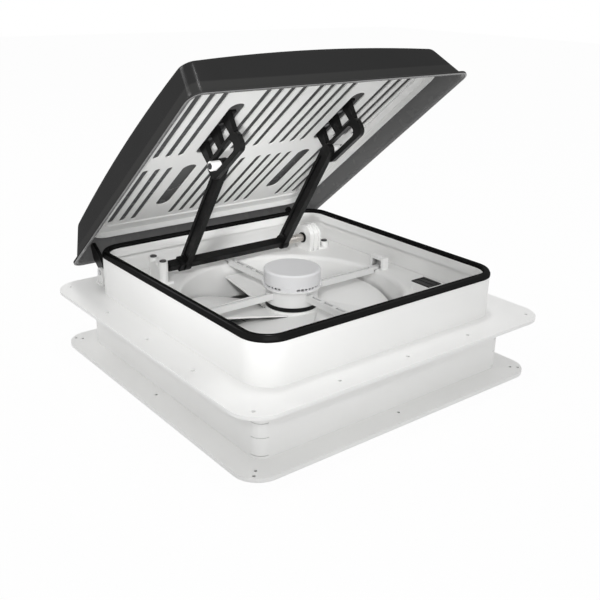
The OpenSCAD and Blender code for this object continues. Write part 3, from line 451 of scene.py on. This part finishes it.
def lid_loops():
    """Loops of the shut lid from the rim up to the middle of the dome."""
    loops = []
    for out, rise in rim_section():
        ring = rounded_loop(LID_HALF + out, LID_HALF_Y + out, LID_MID_Y, LID_R + out)
        loops.append([(x, y, LID_RIM + rise) for x, y in ring])
    edge = edge_insets()
    rows = [[SKIRT_START + (e - SKIRT_STOP - SKIRT_START) * t for e in edge] for t in SKIRT_SHARES]
    rows += [[e + offset for e in edge] for offset in EDGE_OFFSETS]
    for row in rows:
        loops.append([(x, y, LID_RIM + smooth_min(d / SKIRT_SLOPE, dome_at(x, y), EDGE_SOFT))
                      for d, (x, y) in zip(row, lid_ring(row))])
    last = lid_ring(rows[-1])
    for s in DOME_SHARES:
        ring = [(x * s, (y - LID_MID_Y) * s + LID_MID_Y) for x, y in last]
        loops.append([(x, y, LID_RIM + dome_at(x, y)) for x, y in ring])
    return loops


def lid_skin():
    lid = loft("lid_skin", lid_loops(), cap_last=True)
    rise = lid.data.attributes.new("rise", "FLOAT", "POINT")
    for vert in lid.data.vertices:
        rise.data[vert.index].value = vert.co.z / MM - LID_RIM
    lid.data.transform(Matrix.Scale(MM, 4) @ TO_LID @ Matrix.Scale(1 / MM, 4))
    for mat in (SMOKE_OUT, SMOKE_IN_PAINTED_LIGHT, SMOKE_EDGE_PAINTED_LIGHT):
        lid.data.materials.append(mat)
    wall = lid.modifiers.new("wall", "SOLIDIFY")
    wall.thickness = LID_WALL * MM
    wall.offset = -1
    wall.use_even_offset = True
    wall.material_offset = 1
    wall.material_offset_rim = 2
    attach(lid, "lid")
    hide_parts("lid_shell")


# Seal
def seal_section():
    """Inset from the collar's outer face and height: the lower bead, the round bulb and the foot."""
    half = (SEAL_W - SEAL_NECK) / 2
    bulb = arc((SEAL_NECK + half, SEAL_NECK_Z), (half, SEAL_TOP - SEAL_NECK_Z), 180, 0, BULB_STEPS)
    under = COLLAR_TOP + SEAL_GAP
    lip = [(-SEAL_OUT, SEAL_LOW), (-SEAL_OUT, SEAL_LIP_Z)]
    foot = [(SEAL_W, under), (SEAL_GAP, under), (SEAL_GAP, SEAL_LOW)]
    return [*lip, *bulb, *foot]


def seal_bulb():
    loops = []
    for inset, z in seal_section():
        ring = rounded_loop(COLLAR_HALF - inset, COLLAR_HALF - inset, 0, COLLAR_R - inset)
        loops.append([(x, y, z) for x, y in ring])
    seal = loft("seal_bulb", loops, closed_ring=True)
    seal.data.materials.append(RUBBER)
    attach(seal, "frame")
    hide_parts("rim_seal")


# Camera, floor and light
def camera():
    azimuth, elevation, roll = (math.radians(a) for a in (CAM_AZIMUTH, CAM_ELEVATION, CAM_ROLL))
    flat = math.cos(elevation)
    back = Vector((math.sin(azimuth) * flat, -math.cos(azimuth) * flat, math.sin(elevation)))
    right = Vector((math.cos(azimuth), math.sin(azimuth), 0))
    up = back.cross(right)
    rolled_right = math.cos(roll) * right + math.sin(roll) * up
    rolled_up = math.cos(roll) * up - math.sin(roll) * right
    turn = Matrix((rolled_right, rolled_up, back)).transposed()
    data = bpy.data.cameras.new("camera")
    data.lens = CAM_LENS
    data.sensor_width = CAM_SENSOR
    data.clip_start = CAM_NEAR * MM
    obj = bpy.data.objects.new("camera", data)
    obj.matrix_world = Matrix.Translation(CAM_PLACE * MM) @ turn.to_4x4()
    scene.collection.objects.link(obj)
    scene.camera = obj


def lamp(name, kind, place, aim, power):
    data = bpy.data.lights.new(name, kind)
    data.energy = power
    obj = bpy.data.objects.new(name, data)
    obj.location = place
    obj.rotation_euler = (Vector(aim) - Vector(place)).to_track_quat("-Z", "Y").to_euler()
    scene.collection.objects.link(obj)
    return obj


def area(name, place, aim, size, power):
    data = lamp(name, "AREA", place, aim, power).data
    data.shape = "RECTANGLE"
    data.size, data.size_y = size


def spot(name, place, aim, angle, blend, power, radius):
    """Beam that lights a surface but isn't mirrored in the glossy lid."""
    obj = lamp(name, "SPOT", place, aim, power)
    obj.visible_glossy = False
    obj.data.spot_size = math.radians(angle)
    obj.data.spot_blend = blend
    obj.data.shadow_soft_size = radius


def seen_white(tree):
    """One for rays from the camera, mirrors and glass, and zero for the rest."""
    path = tree.nodes.new("ShaderNodeLightPath").outputs
    direct = maths(tree, "MAXIMUM", path["Is Camera Ray"], path["Is Glossy Ray"])
    return maths(tree, "MAXIMUM", direct, path["Is Transmission Ray"])


def world(ambient):
    studio = bpy.data.worlds.new("studio")
    scene.world = studio
    studio.use_nodes = True
    tree = studio.node_tree
    background = tree.nodes["Background"]
    background.inputs["Color"].default_value = (1, 1, 1, 1)
    tree.links.new(ranged(tree, seen_white(tree), ambient, 1.0), background.inputs["Strength"])


def outside(tree, coord):
    """Zero on the floor inside the vent's collar and one beyond it."""
    axes = tree.nodes.new("ShaderNodeSeparateXYZ")
    tree.links.new(coord, axes.inputs[0])
    sides = [maths(tree, "ABSOLUTE", axes.outputs[axis]) for axis in ("X", "Y")]
    far = maths(tree, "MAXIMUM", *sides)
    return ranged(tree, far, 0.0, 1.0, (COLLAR_HALF - FLOOR_FADE) * MM, (COLLAR_HALF + FLOOR_FADE) * MM)


def floor_material(whiteness):
    mat = bpy.data.materials.new("pale_floor")
    tree, links, shader = shader_of(mat)
    coord = object_coord(tree)
    tone = tint(tree, noise(tree, coord, FLOOR_SCALE, 3), grey(FLOOR_DARK), grey(FLOOR_LIGHT))
    links.new(tone, shader.inputs["Base Color"])
    shader.inputs["Roughness"].default_value = FLOOR_ROUGH
    shader.inputs["Specular IOR Level"].default_value = FLOOR_SPEC
    glow = tree.nodes.new("ShaderNodeEmission")
    mix = tree.nodes.new("ShaderNodeMixShader")
    white = ranged(tree, seen_white(tree), 0.0, whiteness)
    links.new(maths(tree, "MULTIPLY", outside(tree, coord), white), mix.inputs[0])
    links.new(shader.outputs["BSDF"], mix.inputs[1])
    links.new(glow.outputs["Emission"], mix.inputs[2])
    links.new(mix.outputs["Shader"], tree.nodes["Material Output"].inputs["Surface"])
    return mat


def floor(whiteness):
    bm = bmesh.new()
    bmesh.ops.create_grid(bm, x_segments=FLOOR_SQUARES, y_segments=FLOOR_SQUARES, size=FLOOR_HALF * MM)
    obj = add_object("floor", bm)
    obj.location.z = FLOOR_Z * MM
    obj.data.materials.append(floor_material(whiteness))


def lights():
    """Soft studio lamps and two beams, for the well and the liner; places in metres and power in watts."""
    area("key", place=(-0.95, -2.18, 1.14), aim=(0, 0, 0.08), size=(2.2, 1.4), power=13)
    area("top", place=(0.1, -1.0, 2.2), aim=(0, -0.1, 0.0), size=(1.2, 1.2), power=2)
    area("rim", place=(-0.85, 2.05, 1.45), aim=(-0.19, 0, 0.06), size=(0.7, 0.7), power=10)
    area("right", place=(1.6, -0.78, 1.75), aim=(0, -0.19, 0.06), size=(0.7, 0.7), power=2)
    area("corner_glint", place=(0.15, 0.13, 2.1), aim=(-0.19, -0.09, 0.29), size=(0.2, 0.5), power=8)
    spot("well_beam", place=(-1.40, -1.56, 1.44), aim=(0.02, 0.11, 0.06), angle=10.5, blend=0.6,
         power=150, radius=0.18)
    spot("liner_beam", place=(-1.62, -1.9, 0.26), aim=(0.01, 0.13, 0.19), angle=7.4, blend=0.85,
         power=270, radius=0.12)


dress_nodes()
lid_skin()
seal_bulb()
soften_edges()
camera()
world(ambient=0.52)
floor(whiteness=0.965)
lights()
